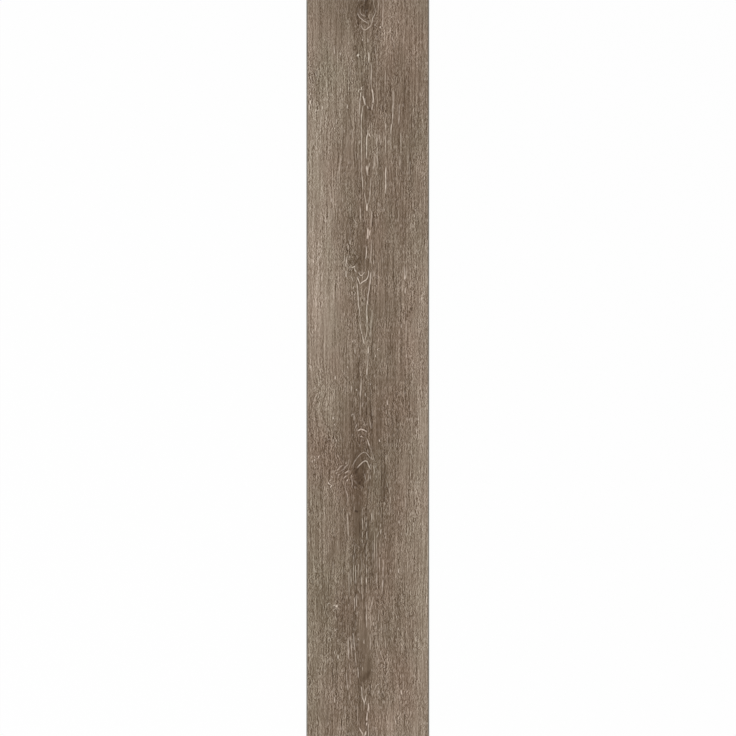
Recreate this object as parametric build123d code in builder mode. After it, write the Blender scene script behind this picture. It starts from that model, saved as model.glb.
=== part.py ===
# Glue-down vinyl floor plank: one flat sheet of printed vinyl, cut square on its four
# edges, with a micro bevel round the wear face. It lies on its back, +Z up, with its
# length along Y and the origin at the middle of the back.
from build123d import *
import os

# Driving dimensions, in millimetres
plank_length = 914.4  # 36 inches, along Y
plank_width = 152.4  # 6 inches, along X
plank_thickness = 2.5  # from the back to the wear face

# The micro bevel that keeps the wear layer from chipping where two planks butt
bevel_run = 0.8  # taken off the wear face, inwards from each edge
bevel_drop = 0.4  # taken off each edge, down from the wear face


# The plank, cut square from the pressed sheet and then bevelled
with BuildPart() as plank:
    with BuildSketch(Plane.XY):
        Rectangle(plank_width, plank_length)
    extrude(amount=plank_thickness)

    wear_face = plank.faces().sort_by(Axis.Z)[-1]
    chamfer(wear_face.edges(), length=bevel_run, length2=bevel_drop, reference=wear_face)

plank.part.label = "plank"


os.makedirs("parts", exist_ok=True)
export_step(plank.part, "parts/plank.step")

wear_area = plank.faces().sort_by(Axis.Z)[-1].area
print(f"plank: {plank.part.volume / 1000:.1f} cm3, wear face {wear_area / 100:.1f} cm2")
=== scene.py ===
import bpy
import bmesh
import numpy as np
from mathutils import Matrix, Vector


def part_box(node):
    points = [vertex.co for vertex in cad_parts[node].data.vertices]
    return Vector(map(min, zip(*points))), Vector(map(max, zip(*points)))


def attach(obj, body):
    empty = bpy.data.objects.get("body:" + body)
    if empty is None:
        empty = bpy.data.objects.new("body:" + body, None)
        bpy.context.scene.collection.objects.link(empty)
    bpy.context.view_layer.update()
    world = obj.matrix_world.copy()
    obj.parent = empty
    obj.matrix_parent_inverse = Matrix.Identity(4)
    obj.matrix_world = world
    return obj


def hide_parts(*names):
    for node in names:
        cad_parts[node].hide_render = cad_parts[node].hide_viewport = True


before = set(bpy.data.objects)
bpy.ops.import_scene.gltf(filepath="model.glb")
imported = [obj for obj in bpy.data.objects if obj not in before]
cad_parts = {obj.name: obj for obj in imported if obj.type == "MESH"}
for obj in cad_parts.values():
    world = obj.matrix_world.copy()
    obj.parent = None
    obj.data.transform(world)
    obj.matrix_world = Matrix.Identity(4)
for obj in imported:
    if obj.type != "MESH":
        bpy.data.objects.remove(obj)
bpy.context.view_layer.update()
mm = 0.001
hair = 0.01 * mm                             # places closer than this count as the same
white = 255                                  # colours and grey levels run from 0 to this
printSlot, edgeSlot, backSlot = range(3)     # the plank's materials, in this order

# sizes of the plank, read from its solid
lowCorner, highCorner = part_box("plank")
halfWidth, halfLength, faceHeight = highCorner
solidCorners = [v.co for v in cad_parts["plank"].data.vertices]
faceCorner = max((c for c in solidCorners if c.z > faceHeight - hair), key=lambda c: c.x + c.y)
edgeHeight = max(c.z for c in solidCorners if c.x > halfWidth - hair)
print(f"plank {2 * halfWidth / mm:.1f} x {2 * halfLength / mm:.1f} x {faceHeight / mm:.2f} mm,"
      f" square edge {edgeHeight / mm:.2f} mm high")


# Shape of the plank: the embossed wear face, its micro bevel, the cut edges and the back
plankShape = dict(
    columns=132,        # cells across the grain, crowded towards the heart
    rows=660,           # cells along the grain
    crowding=0.7,       # 1 would space the columns evenly
    backStrips=24,      # the flat back needs only a few faces
    cutSnap=0.05,       # mm, a cut across the back this close to a corner goes through it
    veinDepth=0.10,     # mm, how deep the press sinks the limed veins
    flatRim=2.0,        # mm, the emboss dies out this close to the bevel
)


def growRim(bm, edges):
    # a strip of faces along these edges: its new points, its open edges and its faces
    grown = bmesh.ops.extrude_edge_only(bm, edges=edges)["geom"]
    points = [item for item in grown if isinstance(item, bmesh.types.BMVert)]
    outer = [item for item in grown if isinstance(item, bmesh.types.BMEdge) and item.is_boundary]
    return points, outer, [item for item in grown if isinstance(item, bmesh.types.BMFace)]


def buildPlankMesh(shape):
    bm = bmesh.new()
    bmesh.ops.create_grid(bm, x_segments=shape["columns"], y_segments=shape["rows"], size=1.0)
    for vert in bm.verts:
        across = shape["crowding"] * vert.co.x + (1 - shape["crowding"]) * vert.co.x ** 3
        vert.co = (across * faceCorner.x, vert.co.y * faceCorner.y, faceHeight)
    for face in bm.faces:
        face.smooth = True

    # micro bevel: the rim goes out to the full size and down to the square edge
    rim = [edge for edge in bm.edges if edge.is_boundary]
    for edge in rim:
        edge.smooth = False
    points, lip, _ = growRim(bm, rim)
    bmesh.ops.scale(bm, vec=(halfWidth / faceCorner.x, halfLength / faceCorner.y, 1), verts=points)
    bmesh.ops.translate(bm, vec=(0, 0, edgeHeight - faceHeight), verts=points)

    # cut edges: straight down to the back
    points, hem, sides = growRim(bm, lip)
    bmesh.ops.translate(bm, vec=(0, 0, lowCorner.z - edgeHeight), verts=points)
    for face in sides:
        face.material_index = edgeSlot

    # back: one face over the whole outline, then cut into strips
    bmesh.ops.edgeloop_fill(bm, edges=hem, mat_nr=backSlot)
    for strip in range(1, shape["backStrips"]):
        level = halfLength * (2 * strip / shape["backStrips"] - 1)
        back = [face for face in bm.faces if face.material_index == backSlot]
        parts = back + [e for f in back for e in f.edges] + [v for f in back for v in f.verts]
        bmesh.ops.bisect_plane(bm, geom=list(dict.fromkeys(parts)), dist=shape["cutSnap"] * mm,
                               plane_co=(0, level, 0), plane_no=(0, 1, 0))

    bmesh.ops.recalc_face_normals(bm, faces=bm.faces)
    mesh = bpy.data.meshes.new("limedOakPlank")
    bm.to_mesh(mesh)
    bm.free()
    return mesh


plankMesh = buildPlankMesh(plankShape)
print(f"plank mesh: {len(plankMesh.vertices)} points, {len(plankMesh.polygons)} faces")


# Limed veins of the oak figure: width in mm, how much lime, and the line, in mm from the plank's middle
limedVeins = [
    # the arch below the head knot
    (1.2, 0.6, (-9.5, 446), (-9.3, 441.5), (-7.8, 438.5), (-6, 437.5), (-2.5, 436.5)),
    (1.3, 0.7, (-12.5, 441), (-12, 438), (-10, 435), (-7.5, 432.5), (-4.5, 430.5), (1, 427.5)),
    (1.4, 0.6, (-8.5, 426), (-6.5, 421.5), (-4, 419), (0.5, 421.5), (5, 427.5), (6, 434), (9, 440)),
    (1.3, 0.35, (7, 457), (7.2, 452), (9, 445.5), (9.5, 441)),
    (1.8, 0.5, (19, 457), (19.3, 450), (18.7, 436), (18, 423)), (2.6, 1.9, (-11.3, 389), (-13, 386.8)),
    (2, 0.8, (1, 392), (1.7, 386), (1, 379)), (1.4, 0.6, (9, 399), (9.5, 391), (11, 388)),
    (1.4, 1, (-42, 400), (-41.5, 394), (-41, 390)), (1.4, 0.75, (-19, 382), (-18, 380)),
    (1.5, 0.85, (37.5, 433), (38.5, 428)), (1.4, 0.55, (32, 403), (33, 399.5), (32.5, 396)),
    (1.4, 0.6, (30, 411), (31, 407)),
    # the long pair of veins in the upper heart
    (1.6, 0.6, (4, 379), (4.5, 372), (4.5, 365), (3.7, 360), (4.3, 349), (5, 346)),
    (2, 0.95, (5.3, 346), (6.5, 338), (7, 333), (6.5, 329)), (2, 0.8, (6.3, 327.5), (5, 320.5)),
    (2.2, 0.85, (-6, 338), (-4.8, 331), (-3, 326.5)), (1.7, 0.7, (-0.5, 325.5), (0.5, 322)),
    (1.5, 0.85, (-9.5, 336), (-10.5, 320), (-10, 314)),
    (1.5, 0.75, (-6, 325), (-7.5, 316), (-8.3, 308), (-7.8, 280), (-7.8, 264), (-8.3, 248), (-8, 242)),
    (1.5, 0.7, (-8, 242), (-7, 238), (-5.8, 222)),
    (1.7, 0.85, (0.5, 293.5), (-1, 288), (-1.5, 285), (-1.7, 268), (-1.3, 260)),
    (2, 0.95, (1.5, 291), (2.5, 287.5)), (1.3, 0.45, (4.5, 304), (4.3, 297), (4.8, 294.5), (4.3, 289)),
    (1.4, 0.6, (14, 291), (14.5, 285), (16, 277)), (1.8, 0.75, (29.3, 303), (28.7, 297), (28.5, 290)),
    (2.6, 0.55, (31.3, 344), (32, 338), (31.6, 322)), (1.9, 0.7, (31.4, 328), (31, 313), (30.4, 303)),
    (1.7, 0.65, (39.2, 327), (38.5, 308), (38.3, 302)), (1.4, 0.55, (40.5, 292), (41, 286), (40.8, 275)),
    (1.4, 0.4, (-32, 302), (-31.5, 290)), (1.4, 0.4, (-19.5, 282), (-20.5, 276)),
    (1.4, 0.35, (-25.5, 284), (-26, 278), (-27, 273)),
    # where the pair draws together
    (1.4, 0.6, (-4.3, 217.8), (-3.5, 211), (-2, 204), (-1.2, 202)), (2.2, 1, (-1, 203.5), (-1, 194.5)),
    (1.5, 0.6, (4.5, 237), (3.5, 231), (2.8, 217), (1.5, 206), (0.3, 203)),
    (2.4, 0.85, (-1.7, 251), (-1, 248), (-0.8, 239)), (1.5, 0.55, (2.3, 255), (1.5, 250), (0, 246)),
    (2, 0.6, (8, 262), (8, 254), (7.3, 246)), (1.7, 0.45, (11.5, 266), (12.5, 251)),
    (1.8, 0.85, (22.3, 250), (22, 236), (22.3, 230), (21.8, 217)), (1.6, 0.6, (39.8, 263), (39.8, 250)),
    (2.2, 0.35, (-33.5, 263), (-35, 247), (-37.5, 240), (-38, 233)), (1.5, 0.45, (-47, 219), (-45.5, 209)),
    (1.7, 0.5, (13.8, 206), (13.5, 201)), (1.8, 0.55, (-9, 200), (-9.3, 184)),
    (1.6, 0.55, (5, 195), (4, 182), (4.3, 175)),
    (1.4, 0.45, (-17.5, 186), (-16.5, 183), (-14.5, 180), (-13, 179.5)),
    # the hooked figure above the middle
    (2.3, 0.9, (-0.3, 174), (0.3, 169), (-0.3, 160)), (1.5, 0.5, (3.5, 171), (2, 167.5)),
    (1.6, 0.5, (5, 160), (4, 142), (2.8, 130)), (1.6, 0.75, (-1.3, 151), (-2.7, 135)),
    (1.5, 1, (1, 121), (0.8, 116), (-0.5, 111.5), (-2.5, 109), (-7, 106.5), (-9.5, 104)),
    (1.4, 1, (-13, 113), (-12, 110), (-9.7, 104.5)),
    (1.4, 0.95, (-11.5, 118.5), (-10.5, 116), (-8, 114.5), (-6, 116), (-4, 119)),
    (1.5, 1.1, (-19.5, 124), (-15.7, 126.5)), (1.6, 0.7, (-16.5, 125), (-16.3, 122), (-14.5, 119)),
    (1.4, 1, (-20.5, 113), (-19, 110.5), (-18.8, 107.5)),
    (1.6, 0.75, (-13.3, 106), (-12.8, 98), (-11.7, 87), (-11.7, 79), (-10.5, 72), (-10, 65)),
    (1.7, 0.75, (4.5, 120), (3, 109), (1.5, 98), (0, 87), (-1.5, 76), (-1.3, 66), (-1, 55)),
    (1.4, 0.55, (8, 119), (7.2, 113)), (2.4, 0.95, (-0.6, 84), (-1, 78.5)),
    (1.5, 0.8, (-29.3, 140), (-28.8, 133)), (1.5, 0.85, (-26.5, 137), (-26.5, 131), (-28.5, 126)),
    (1.3, 0.35, (-19, 148.5), (-17.5, 144), (-15.5, 140.5)), (1.5, 0.65, (46, 125), (45.5, 111)),
    # down to the middle and past it
    (1.5, 0.5, (-9.5, 63), (-9.3, 53), (-8, 44)), (1.8, 0.7, (-7, 41), (-5.5, 36), (-4.5, 30.3)),
    (1.5, 0.55, (-1, 56), (-0.7, 49), (-2, 40), (-3.5, 34)),
    (2.5, 0.35, (5.5, 72), (4.5, 58), (3.3, 44), (3, 38)), (1.8, 0.85, (0.8, 27), (0.7, 22), (0, 17.5)),
    (1.5, 0.5, (0.3, 17), (0.5, 10), (-0.8, 0)), (1.9, 0.8, (-0.8, 0), (-1.3, -9)),
    (1.4, 0.3, (-14, 50), (-17, 40)), (1.7, 0.55, (-8.3, -13), (-8, -18), (-9.3, -33), (-9, -39)),
    (2, 0.35, (-9.3, -45), (-9.5, -58)), (2.2, 0.5, (-6, -43), (-7, -48)),
    (1.5, 0.65, (-17, -58.5), (-17.2, -65)), (1.6, 1.1, (-19, -57), (-20.5, -59)),
    (1.5, 0.65, (-13.8, -69.5), (-15.5, -75)), (1.4, 0.6, (2, -64), (3, -69), (4, -75)),
    (1.4, 0.4, (8.3, -64.5), (9, -67)), (1.4, 0.35, (24, -81), (25, -86), (23.5, -98)),
    # the three arches over the main knot
    (1.8, 0.85, (-12.3, -78), (-10, -76.3), (-8, -75.8), (-5, -77), (-1, -79.3)),
    (1.5, 0.8, (-9, -85.5), (-7.3, -84), (-6.5, -86)), (1.6, 0.85, (-1, -88.5), (0.5, -92), (2.3, -97)),
    (1.4, 0.3, (2.5, -97.5), (5, -104), (8.5, -116)),
    (1.3, 0.45, (-19, -121.5), (-15.5, -114), (-9, -106.5), (-5, -104.3), (-2, -105), (3.5, -112.5)),
    (1.6, 0.75, (-13.5, -124), (-8, -118.5), (-4, -115), (-2.5, -115), (-0.5, -116.5), (3, -125.5)),
    (1.4, 0.55, (4.5, -110), (6, -114)), (1.4, 0.65, (7, -121), (8, -125), (8.5, -131)),
    (1.3, 0.35, (1, -132.5), (1.2, -137), (0.5, -140)), (1.3, 0.4, (-4, -131), (-2.5, -139)),
    # slanting strokes to the left of the knot
    (1.4, 0.62, (-31.5, -120.5), (-35, -123.5), (-38.7, -127.5)),
    (1.3, 0.55, (-23.5, -113.5), (-24, -117.5), (-25.5, -121), (-30, -124)),
    (1.3, 0.45, (-28, -124.5), (-33, -127.5)), (1.4, 0.85, (-23.5, -127), (-28.3, -130.5)),
    (1.3, 0.95, (-26.5, -133.5), (-30.2, -137.3)), (1.5, 1.1, (-24.5, -138), (-26.2, -140.5)),
    (1.3, 0.75, (-26.8, -117), (-27.2, -119)), (1.5, 0.75, (-35, -132), (-37.2, -133.5)),
    (1.6, 1.1, (-49.3, -141.8), (-48.3, -143.5), (-46.5, -145)), (1.6, 1.1, (-44, -145), (-46.5, -148)),
    (1.4, 0.8, (-45.3, -138), (-47.5, -140.2)), (1.4, 0.6, (-20, -136), (-19, -143), (-20, -148)),
    (1.5, 0.4, (-28, -142), (-28, -149), (-26, -155), (-25, -159), (-25, -168)),
    # straight veins below the knot
    (1.6, 0.52, (-25, -180), (-25, -192), (-24.3, -204), (-24.3, -209)),
    (1.3, 0.29, (-27.5, -194), (-28, -200), (-27.7, -214)), (1.3, 0.34, (-6.5, -174), (-6.8, -184)),
    (1.6, 0.5, (-7, -186), (-6.5, -192), (-6, -201)), (1.3, 0.65, (-6.5, -203), (-6.7, -210)),
    (1.8, 0.38, (-2, -191), (-1.7, -199)), (1.6, 0.59, (-1.5, -203), (-1, -213)),
    (1.2, 0.34, (-1.7, -218), (-1.5, -226), (-1.7, -232)),
    (1.6, 0.5, (4.5, -180), (4.7, -186), (4.5, -190)), (2.2, 0.42, (6.5, -176), (6.3, -182), (6.5, -188)),
    (1.2, 0.38, (8.5, -204), (8.3, -214), (8.5, -226), (8, -236)),
    (1.2, 0.29, (6, -214), (6.2, -224), (6.5, -240)), (1.2, 0.29, (10.7, -212), (11, -222), (11, -240)),
    (1.3, 0.55, (13.5, -203), (12.5, -207), (11, -210)), (1.4, 0.65, (26.5, -149), (27, -156)),
    (1.3, 0.5, (29, -147.5), (28.5, -151)), (1.2, 0.29, (-17, -169), (-16.5, -174), (-17, -178)),
    (1.1, 0.29, (-9, -223), (-12, -222), (-13.5, -220)),
    # the close bundle of pores
    (1.3, 0.55, (-17.5, -242), (-18, -250), (-18, -264)),
    (1.3, 0.6, (-15.5, -245), (-15, -252), (-15, -268)),
    (1.6, 0.38, (-12, -243), (-11.3, -247), (-11.7, -251)),
    (1.3, 0.34, (-8, -236), (-7.5, -246), (-7.8, -253)),
    (1.6, 0.59, (-8.3, -257), (-8, -262), (-7.8, -269)), (1.4, 0.36, (-8, -271), (-7, -275), (-6.5, -287)),
    (1.4, 0.59, (-11.5, -274), (-10.3, -279)), (1.3, 0.4, (-23.7, -255), (-23.5, -266), (-22.7, -282)),
    (1.3, 0.4, (-21, -249), (-20.5, -268)),
    (1.5, 0.55, (-17, -285), (-16.5, -291), (-16.3, -297), (-16.5, -301)),
    (1.4, 0.65, (-14.3, -281), (-14, -296)), (1.6, 0.45, (-2, -290), (-1.7, -305)),
    (1.8, 0.65, (-2, -305), (-1.3, -316), (-1.3, -322)),
    (1.9, 0.5, (7, -284), (5.5, -290), (4.5, -295), (3, -299), (3.3, -302)),
    (1.8, 0.34, (3, -305), (3.5, -312), (3, -325)), (1.3, 0.5, (14, -300), (13, -314)),
    (1.3, 0.4, (1.5, -283), (3, -290)), (1.7, 0.4, (14.3, -235), (14.5, -253)),
    (1.8, 0.5, (18.5, -262), (18, -278)),
    # the small curl to the left of it
    (2.8, 2.4, (-38.7, -294.8), (-38.7, -296.6)), (1.6, 0.85, (-39.8, -294), (-41, -294), (-43.2, -294.8)),
    (1.7, 1.5, (-39.8, -298.3), (-40.6, -298.8)), (1.8, 1.3, (-42.3, -300), (-43, -300.8)),
    (1.5, 0.55, (-50.4, -296), (-50.2, -293), (-48.5, -291.8), (-47, -292)),
    # the foot end, with its forked mark
    (1.4, 0.7, (-18.5, -329), (-17.5, -334), (-16.5, -346), (-16.5, -350)),
    (1.5, 0.55, (-15.5, -353), (-15.7, -358), (-14.2, -368)),
    (1.8, 0.5, (-24.3, -335), (-24, -354), (-23.5, -361)),
    (1.4, 0.6, (-22, -333), (-20, -348), (-19.7, -358)),
    (1.6, 0.5, (-26.5, -377), (-26.3, -385), (-25.5, -391), (-24.5, -400)),
    (1.5, 0.42, (-22, -380), (-22, -388), (-21.3, -392)), (1.5, 0.65, (-12.5, -372), (-11.5, -384)),
    (1.5, 0.75, (-8, -395), (-7, -405), (-6.5, -410), (-4, -416), (-4, -420)),
    (1.5, 1, (-2.9, -406.5), (-2.7, -410), (-3.6, -413.5), (-4.2, -416.5)),
    (1.4, 0.4, (8.5, -397.5), (7, -402), (5.5, -407)), (1.3, 0.5, (15, -391), (11, -394), (8.5, -398)),
    (2.6, 0.75, (0.7, -416), (0.5, -420), (0, -426)), (1.7, 0.9, (-0.7, -427), (-1, -432), (-1.3, -438)),
    (1.6, 0.9, (-1.5, -440), (-2, -444)), (1.5, 0.6, (0.8, -441), (0.7, -457)),
    (1.3, 0.36, (-13, -424), (-12.7, -432), (-12, -441)),
    (1.6, 0.76, (-11, -446), (-8, -451), (-5.5, -457)), (1.8, 1, (-2.5, -451), (-3, -455), (-4, -457)),
    (1.6, 0.34, (3, -330), (3.5, -340), (3, -350)), (1.2, 0.29, (10.5, -350), (11.5, -360)),
]

# Short limed pores that run straight along the grain: place across, upper and lower end, width, lime
limedDashes = [
    (13, 457, 446, 1.4, 0.45), (9, 427, 424.5, 1.6, 0.8), (15.5, 424, 421.5, 2.2, 1.4),
    (-6.5, 408.5, 406, 1.5, 0.9), (-25, 404, 402.5, 1.5, 0.6), (-34, 391, 388, 1.4, 1.3),
    (0, 409, 404, 1.4, 0.6), (29.5, 436, 435, 1.5, 1.1), (35, 441, 439, 1.4, 0.6),
    (23.5, 417, 415, 1.5, 0.6), (10.8, 366, 361, 1.3, 0.35), (-8, 348.5, 345.5, 1.8, 1.4),
    (-9, 342, 337, 1.6, 1.5), (11, 291, 277, 1.4, 0.6), (22, 304, 295, 1.6, 0.65), (22, 288, 266, 1.4, 0.6),
    (21.9, 369, 351, 1.6, 0.45), (17, 327, 321, 1.4, 0.4), (-19, 341, 338.5, 1.4, 0.4),
    (-25.5, 327, 322, 2.5, 0.75), (-42.8, 320, 318, 1.5, 0.5), (-19.2, 294, 285, 1.4, 0.55),
    (-11.5, 345, 342, 1.4, 1.1), (31, 224, 221, 1.4, 0.4), (-43.2, 212, 206, 1.4, 0.35),
    (-31.5, 210, 206, 1.4, 0.55), (-9.6, 217, 212, 1.3, 0.35), (-21.2, 200, 195, 1.4, 0.55),
    (-45, 198, 183, 1.4, 0.4), (38.2, 197, 184, 1.4, 0.25), (-18, 101.5, 98, 1.4, 0.85),
    (11, 103, 101, 1.4, 0.7), (-27, 121, 113, 1.5, 1.8), (-22, 159, 153.5, 2.2, 0.75),
    (46.4, 100, 92, 1.4, 1), (-4.6, 88, 83, 1.4, 0.5), (-8, 45.3, 42.7, 1.6, 1.1),
    (-15.5, 35, 31, 1.5, 0.6), (-19.2, 34, 32, 1.5, 1.1), (-16, 26, 18, 1.5, 0.65), (-19, 10, 8, 1.4, 0.4),
    (9.4, 17, 13.5, 1.6, 0.8), (11.7, 24, 22, 2, 1.4), (9, 30, 26, 1.5, 0.35), (15.7, 2, 0, 1.4, 0.75),
    (19.2, 70, 64, 1.4, 0.35), (-25.4, 2, 0, 1.5, 1.1), (-29, -5, -8, 1.4, 0.4),
    (-40.5, -10, -14, 1.5, 1.3), (-8.8, -6, -10, 1.4, 0.4), (8, -8, -11, 1.4, 0.7), (39, 48, 42, 1.4, 0.6),
    (39, 35, 31, 1.4, 0.7), (41.5, 55, 50, 1.4, 0.75), (47.7, 17, 13, 1.4, 0.95),
    (3, -19.5, -21.5, 1.5, 1.4), (-3, -31, -35, 1.5, 0.8), (-14, -26, -28, 1.5, 0.9),
    (-20.5, -22, -29, 1.5, 0.8), (24.3, -39.5, -46, 2.6, 0.8), (23, -53, -57, 1.4, 0.55),
    (-43, -61, -63, 1.5, 1.6), (14.5, -89, -91.5, 1.6, 1.1), (-33.5, -85, -89, 1.4, 0.4),
    (-39, -89, -91, 1.5, 1.3), (-41.4, -69.5, -71, 1.5, 1.3), (43.5, -59, -62, 1.4, 0.4),
    (3.3, -119, -122, 1.3, 0.5), (-0.4, -127, -130.5, 1.3, 0.45), (3.2, -133, -138, 1.3, 0.5),
    (-1.9, -139.5, -141, 1.3, 0.3), (10.8, -134, -136, 1.3, 0.4), (-20.5, -133, -134.5, 1.5, 1.3),
    (-39, -129.5, -131, 1.6, 1.4), (-44.7, -134, -136, 1.5, 1), (24.5, -142, -148, 1.3, 0.4),
    (-21.7, -209, -214, 1.4, 0.4), (-24.2, -213, -218, 1.4, 0.2), (-6.7, -213, -217.5, 1.4, 0.45),
    (-1.5, -233, -239, 1.6, 0.45), (15.7, -193, -197, 1.6, 0.45), (16.2, -200, -206, 1.4, 0.65),
    (21.2, -204, -207, 1.4, 0.6), (21.9, -209, -212, 1.4, 0.65), (28, -160, -168, 1.8, 0.4),
    (42, -204, -208, 1.5, 0.5), (38.8, -189, -193, 1.4, 0.7), (-16.4, -222, -230, 1.4, 0.35),
    (-17.7, -232, -238, 1.4, 0.35), (-37.5, -214, -225, 1.8, 0.22), (46.7, -160, -175, 2, 0.35),
    (-1.5, -248, -256, 1.6, 0.55), (-1.7, -260, -268, 1.8, 0.75), (-1.6, -270, -278, 1.6, 0.35),
    (-13, -302, -308, 2, 0.35), (7, -315, -320, 1.4, 0.6), (10.6, -316, -322, 1.4, 0.4),
    (17, -316, -326, 1.5, 0.4), (22, -318, -328, 1.5, 0.4), (19, -238, -260, 2, 0.5),
    (10.8, -254, -268, 1.4, 0.45), (10.2, -240, -246, 1.4, 0.4), (38.5, -249, -254, 1.6, 1.1),
    (-43, -240, -253, 1.5, 0.4), (-33, -266, -269, 1.5, 0.45), (-24.3, -293, -295, 1.4, 0.7),
    (-40.5, -324.5, -326, 2, 1.1), (38, -322, -325, 1.5, 0.7), (35.4, -308, -310, 1.5, 0.8),
    (48, -270, -273, 1.5, 0.45), (-23, -366, -375, 1.5, 0.4), (-6.5, -371, -375, 1.5, 0.4),
    (-5, -337.5, -342, 1.5, 0.65), (-12, -335, -338, 1.5, 0.7), (-28.2, -420, -432, 1.8, 0.45),
    (-22.7, -405, -412, 1.5, 0.35), (10.5, -330, -345, 1.4, 0.25), (16, -351, -356, 1.5, 0.7),
    (11.7, -362, -372, 1.5, 0.35), (22, -335, -347, 1.5, 0.35), (33.4, -362, -366, 1.5, 0.4),
    (13.9, -400, -404, 1.5, 0.75), (24.5, -409, -412, 1.5, 0.4), (44, -388, -396, 1.5, 0.45),
    (42, -400, -405, 2, 0.95), (39.7, -405, -412, 1.5, 0.6), (33, -432, -437, 1.5, 0.7),
    (32.8, -408, -414, 1.5, 0.4), (-37, -337.5, -339.5, 2, 0.65), (-37, -356, -361, 2, 0.9),
    (-41.4, -351, -355, 1.5, 0.7), (-41.5, -408, -415, 1.8, 0.75), (5.3, -374, -376, 1.8, 0.55),
    (-72.7, 326, 320.5, 1.9, 1.9), (-71.4, 332, 328, 2.1, 1.9), (-56.5, 325, 321, 1.4, 1.2),
    (1.8, 171, 164.5, 1.8, 0.7), (-4.2, 335, 329.5, 2.2, 0.6), (-61.3, -109, -112, 1.6, 1.5),
    (-66.5, -109.5, -111, 1.5, 1.2), (-66.5, -113, -115, 1.8, 1.1), (-69, -115, -117, 1.6, 1),
    (-24, 373, 343, 1.4, 0.3), (-21.6, 373, 357, 1.4, 0.3), (-56.5, 320, 310, 1.4, 0.35),
    (-58.7, 319, 300, 1.4, 0.3), (49.6, 268, 254, 1.5, 0.3), (51.5, 254, 240, 2.2, 0.25),
    (47.6, 60, 37, 1.5, 0.35), (56.3, 60, 43, 1.4, 0.3), (-22, 176, 160, 1.5, 0.3),
    (-52.6, 178, 170, 1.6, 0.4), (-45.5, 210.5, 205.5, 1.5, 0.6), (45.3, 127, 119, 1.5, 0.4),
    (47.8, 120, 112, 1.5, 0.45), (45.5, 114, 109.5, 1.7, 1), (52.8, 118, 109, 1.5, 0.35),
    (5.8, -46, -60, 1.4, 0.3), (28.6, 290, 271, 1.4, 0.35),
]

# Tone of the print from edge to edge, as grey levels of 255: pale sapwood outside, darker heart
toneAcross = [(-76, 125), (-62, 122), (-45, 117), (-30, 111), (-14, 102), (-2, 101), (10, 106),
              (38, 107), (52, 114), (64, 123), (76, 126)]

# Broad shades in the print: middle in mm, reach across and along in mm, change in grey levels
broadShades = [
    (-62, 110, 32, 130, 18), (-54, 285, 28, 75, 9), (-50, 445, 30, 24, -6), (-24, 385, 22, 45, 17),
    (-14, 285, 11, 62, 16), (-31, 168, 9, 40, -9), (-50, 80, 17, 48, 13), (-48, -45, 15, 26, 8),
    (-68, -60, 10, 34, -12), (-58, -110, 34, 34, -12), (-38, -128, 14, 30, -11), (-50, -200, 12, 22, 12),
    (-62, -230, 34, 130, -8), (-30, -238, 8, 16, 11), (-50, -280, 12, 20, -7), (-40, -350, 44, 130, -8),
    (-34, -318, 14, 24, -9), (-68, -358, 10, 24, 5), (-66, -440, 22, 40, -8), (2, 45, 24, 45, 4),
    (-10, -110, 18, 75, -14), (-9, -240, 15, 60, -6), (-14, -365, 14, 40, -10), (-1, -437, 9, 18, -12),
    (8, -80, 55, 60, -5), (30, -110, 15, 80, -5), (14, -258, 9, 34, -10), (14, -145, 10, 36, -5),
    (1, 340, 11, 38, -5), (14, 160, 10, 16, 11), (31, 425, 15, 44, 22), (62, 300, 26, 120, -9),
    (12, 282, 14, 28, 12), (64, 70, 18, 80, 5), (46, 119, 10, 26, 6), (31, 0, 12, 20, 5),
    (66, -150, 26, 190, 6), (48, -140, 10, 30, 5), (31, -195, 10, 22, -6), (46, -235, 12, 30, 5),
    (66, -300, 12, 50, 5), (3, -316, 12, 32, 15), (28, -445, 26, 36, 15), (-40, 320, 30, 26, 4),
    (-32, 272, 7, 24, -8), (-68, 280, 10, 40, 5), (-3, 84, 8, 20, 6), (-16, 40, 7, 20, 5),
    (47, -40, 10, 42, -6), (-16, -398, 8, 22, 6), (-66, -398, 10, 20, 6), (64, -398, 10, 24, -5),
    (64, 239, 9, 20, -5), (31, 239, 8, 24, -5), (0, 199, 8, 18, 6), (-26, 411, 13, 12, 7),
    (-17, 350, 5, 15, -13), (24, 350, 6, 26, 7), (-34, 333, 5, 16, -6), (-4, 283, 5, 26, -12),
    (-40, 266, 5, 30, -7), (-60, 230, 8, 34, 6), (-26, 142, 7, 18, -8), (24, 92, 6, 18, 6),
    (52, 104, 7, 20, 7), (54, 2, 4, 14, -11), (-40, 4, 5, 18, 7), (-36, -78, 5, 16, 7),
    (6, -62, 5, 12, -10), (74, -158, 7, 24, 8), (20, -212, 6, 13, -11), (-37, -235, 6, 32, 8),
    (-41, -298, 7, 12, -8), (5, -322, 5, 24, 6), (-74, -440, 6, 16, -10), (6, -455, 6, 8, -9),
    (-26, -150, 8, 14, -9), (40, 181, 10, 9, -5), (7, -386, 4, 9, 6), (-66, 358, 14, 16, -8),
    (29, -152, 8, 22, -6), (-67, -200, 11, 18, -6), (6, -132, 5, 18, 5), (-22, 133, 8, 11, -9),
]

# Knots, bruises and dark heartwood, in the same terms
darkMarks = [
    (-2, 449, 8, 11, -26), (-5, 442, 18, 24, -9), (-14, 391, 4, 3, -10), (-13, 384, 3, 2, -10),
    (4, 314, 3, 3, -16), (42, 330, 4, 14, -7), (40, 182, 4, 12, -6), (-12, 136, 8, 20, -13),
    (-11.5, -134, 7, 13, -22), (-12, -195, 6, 28, -10), (-12, -232, 10, 10, -8), (-13, -162, 6, 12, -6),
    (3.5, -260, 4, 14, -10), (-45, -301, 5, 5, -9), (-4, -384, 4.5, 7, -8),
]

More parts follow.
